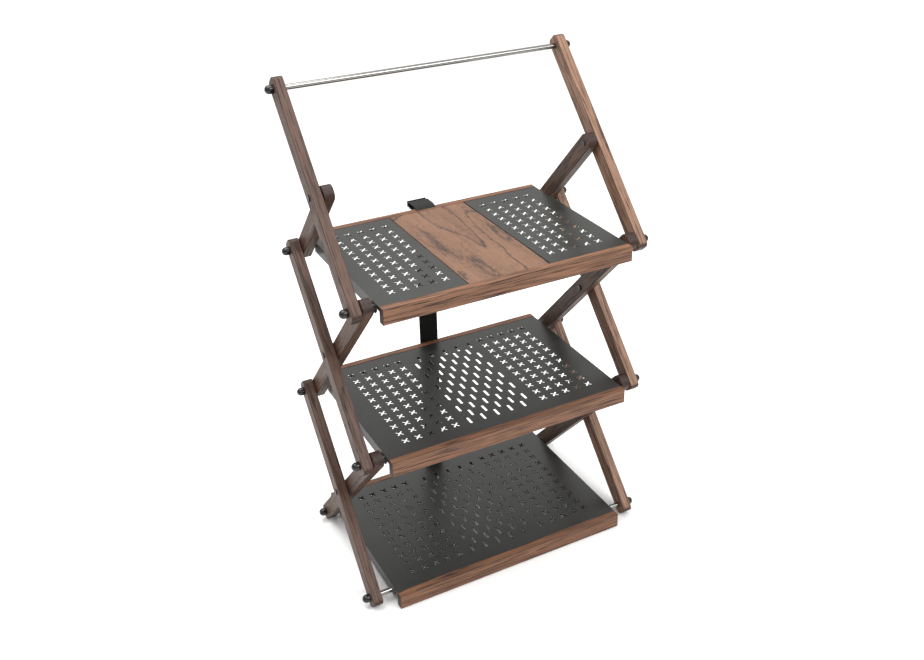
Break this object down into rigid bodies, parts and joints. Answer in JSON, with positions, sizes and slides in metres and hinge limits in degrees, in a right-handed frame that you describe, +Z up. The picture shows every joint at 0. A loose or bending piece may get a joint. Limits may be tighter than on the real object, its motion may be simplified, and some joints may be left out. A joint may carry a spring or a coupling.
{
  "type": "folding shelf rack",
  "caption": "Folding tiered storage rack: timber scissor side frames on steel cross rods carry perforated steel trays with timber rails, a top bar and a rear pull strap.",
  "frame": {"origin": "on the floor, at the centre of the bounding box", "axes": "+X across the rack along the rods, -Y towards the user at the front, +Z up"},
  "size_m": [0.5942, 0.3814, 0.9192],
  "materials": {
    "arm_wood": "walnut-stained open-grain hardwood, oiled",
    "rail_wood": "walnut-stained open-grain hardwood, oiled",
    "board_wood": "walnut-stained flat-sawn hardwood, satin lacquer",
    "black_cap": "gloss black dome",
    "washer": "black nylon",
    "rod_steel": "polished stainless",
    "bolt_black": "black oxide steel",
    "screw_steel": "black oxide steel",
    "tray_steel": "satin dark grey powder coat",
    "keeper_steel": "black powder coat",
    "webbing": "black woven webbing"
  },
  "bodies": {
    "base_rod": {"front_rod_bottom": "rod_steel", "front_cap_nuts_bottom": "black_cap"},
    "outer_arms_bottom": {"outer_arm_bottom_left": "arm_wood", "outer_arm_bottom_right": "arm_wood", "rear_rod_middle": "rod_steel", "rear_cap_nuts_middle": "black_cap", "rear_rod_washers_middle": "washer"},
    "inner_arms_bottom": {"inner_arm_bottom_left": "arm_wood", "inner_arm_bottom_right": "arm_wood", "rear_rod_bottom": "rod_steel", "rear_cap_nuts_bottom": "black_cap", "pivot_bolts_bottom": "bolt_black", "pivot_washers_bottom": "washer"},
    "inner_arms_middle": {"inner_arm_middle_left": "arm_wood", "inner_arm_middle_right": "arm_wood", "pivot_bolts_middle": "bolt_black", "pivot_washers_middle": "washer"},
    "outer_arms_middle": {"outer_arm_middle_left": "arm_wood", "outer_arm_middle_right": "arm_wood", "front_rod_middle": "rod_steel", "front_cap_nuts_middle": "black_cap", "front_rod_washers_middle": "washer", "rear_rod_top": "rod_steel", "rear_cap_nuts_top": "black_cap", "rear_rod_washers_top": "washer"},
    "inner_arms_top": {"inner_arm_top_left": "arm_wood", "inner_arm_top_right": "arm_wood", "pivot_bolts_top": "bolt_black", "pivot_washers_top": "washer"},
    "outer_arms_top": {"outer_arm_top_left": "arm_wood", "outer_arm_top_right": "arm_wood", "front_rod_top": "rod_steel", "front_cap_nuts_top": "black_cap", "front_rod_washers_top": "washer", "top_bar": "rod_steel", "top_bar_cap_nuts": "black_cap"},
    "bottom_tray": {"bottom_tray_plate": "tray_steel", "bottom_tray_brackets": "tray_steel", "bottom_tray_front_rail": "rail_wood", "bottom_tray_rear_rail": "rail_wood", "bottom_tray_screws": "screw_steel", "bottom_strap_keeper": "keeper_steel", "strap_lower": "webbing"},
    "middle_tray": {"middle_tray_plate": "tray_steel", "middle_tray_brackets": "tray_steel", "middle_tray_front_rail": "rail_wood", "middle_tray_rear_rail": "rail_wood", "middle_tray_screws": "screw_steel", "middle_strap_keeper": "keeper_steel", "strap_upper": "webbing"},
    "top_tray": {"top_tray_plate_left": "tray_steel", "top_tray_plate_right": "tray_steel", "top_tray_board": "board_wood", "top_tray_brackets": "tray_steel", "top_tray_front_rail": "rail_wood", "top_tray_rear_rail": "rail_wood", "top_tray_screws": "screw_steel", "top_strap_keeper": "keeper_steel", "strap_loop": "webbing"}
  },
  "joints": [
    {"name": "fold", "type": "hinge", "parent": "base_rod", "child": "outer_arms_bottom", "pos_m": [0, -0.1537, 0.01968], "axis": [-1, 0, 0], "range_deg": [0, 42], "deforming": ["strap_lower", "strap_upper"]},
    {"name": "bottom_cross", "type": "hinge", "parent": "outer_arms_bottom", "child": "inner_arms_bottom", "pos_m": [0, -0.0177, 0.16632], "axis": [-1, 0, 0], "range_deg": [-84, 0]},
    {"name": "rear_pivot_middle", "type": "hinge", "parent": "outer_arms_bottom", "child": "inner_arms_middle", "pos_m": [0, 0.1183, 0.31296], "axis": [-1, 0, 0], "range_deg": [-84, 0]},
    {"name": "middle_cross", "type": "hinge", "parent": "inner_arms_middle", "child": "outer_arms_middle", "pos_m": [0, -0.0177, 0.45961], "axis": [-1, 0, 0], "range_deg": [0, 84]},
    {"name": "rear_pivot_top", "type": "hinge", "parent": "outer_arms_middle", "child": "inner_arms_top", "pos_m": [0, 0.1183, 0.60625], "axis": [-1, 0, 0], "range_deg": [-84, 0]},
    {"name": "top_cross", "type": "hinge", "parent": "inner_arms_top", "child": "outer_arms_top", "pos_m": [0, -0.0177, 0.75289], "axis": [-1, 0, 0], "range_deg": [0, 84]},
    {"name": "bottom_tray_lift", "type": "hinge", "parent": "base_rod", "child": "bottom_tray", "pos_m": [0, -0.1537, 0.01968], "axis": [-1, 0, 0], "range_deg": [-14.7, 0]},
    {"name": "middle_tray_lift", "type": "hinge", "parent": "outer_arms_middle", "child": "middle_tray", "pos_m": [0, -0.1537, 0.31296], "axis": [-1, 0, 0], "range_deg": [-56.7, 0]},
    {"name": "top_tray_lift", "type": "hinge", "parent": "outer_arms_top", "child": "top_tray", "pos_m": [0, -0.1537, 0.60625], "axis": [-1, 0, 0], "range_deg": [-56.7, 0]}
  ],
  "couplings": [
    {"joint": "bottom_cross", "follows": "fold", "ratio": -2},
    {"joint": "rear_pivot_middle", "follows": "fold", "ratio": -2},
    {"joint": "middle_cross", "follows": "fold", "ratio": 2},
    {"joint": "rear_pivot_top", "follows": "fold", "ratio": -2},
    {"joint": "top_cross", "follows": "fold", "ratio": 2},
    {"joint": "bottom_tray_lift", "follows": "fold", "ratio": -0.35},
    {"joint": "middle_tray_lift", "follows": "fold", "ratio": -1.35},
    {"joint": "top_tray_lift", "follows": "fold", "ratio": -1.35}
  ]
}
